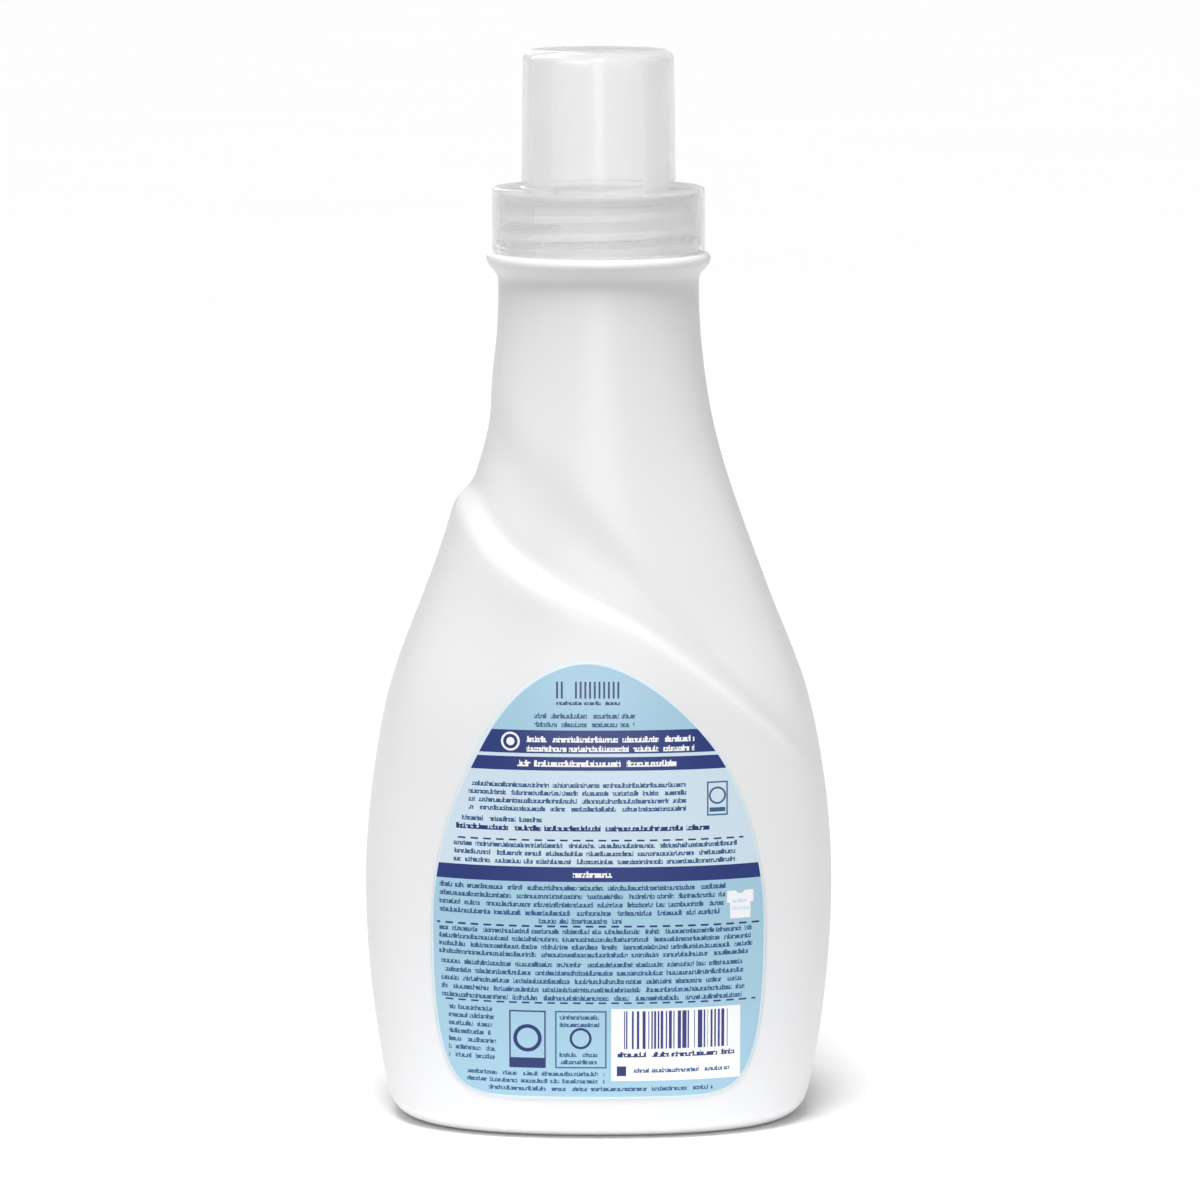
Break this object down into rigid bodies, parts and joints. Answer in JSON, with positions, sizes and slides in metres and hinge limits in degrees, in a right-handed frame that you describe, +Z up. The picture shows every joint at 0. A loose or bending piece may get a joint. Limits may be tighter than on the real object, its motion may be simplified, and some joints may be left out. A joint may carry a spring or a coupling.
{
  "type": "fabric softener bottle",
  "caption": "Oval blown plastic bottle with a ridge sweeping round its sloping shoulder, a round neck, a recessed pouring spout, a screw-on dosing cap and an egg-shaped back label.",
  "frame": {"origin": "middle of the base, on the plane that the bottle stands on", "axes": "+Z up through the neck, +X along the width towards the low end of the ridge, -Y out of the labelled face"},
  "size_m": [0.1119, 0.0784, 0.2554],
  "materials": {
    "white_polyethylene": "smooth blown polyethylene with a soft satin sheen",
    "spout_polyethylene": "moulded white polyethylene",
    "washer_foam": "closed-cell polyethylene foam",
    "clear_polypropylene": "natural translucent polypropylene, lightly frosted",
    "label_blue_film": "printed film label, light blue",
    "navy_ink": "navy print",
    "pale_ink": "very pale blue print",
    "white_ink": "white print"
  },
  "bodies": {
    "container": {"bottle": "white_polyethylene", "pour_spout": "spout_polyethylene", "back_label": "label_blue_film", "label_navy_bands": "navy_ink", "label_pale_panel": "pale_ink", "label_white_patches": "white_ink"},
    "seal": {"sealing_washer": "washer_foam"},
    "closure": {"cap": "clear_polypropylene"}
  },
  "joints": [
    {"name": "cap_rise", "type": "slide", "parent": "container", "child": "seal", "axis": [0, 0, 1], "range_m": [0, 0.01693]},
    {"name": "cap_turn", "type": "hinge", "parent": "seal", "child": "closure", "pos_m": [0, 0, 0.2155], "axis": [0, 0, 1], "range_deg": [0, 1440]}
  ],
  "couplings": [
    {"joint": "cap_rise", "follows": "cap_turn", "m_per_rad": 0.00067322}
  ]
}
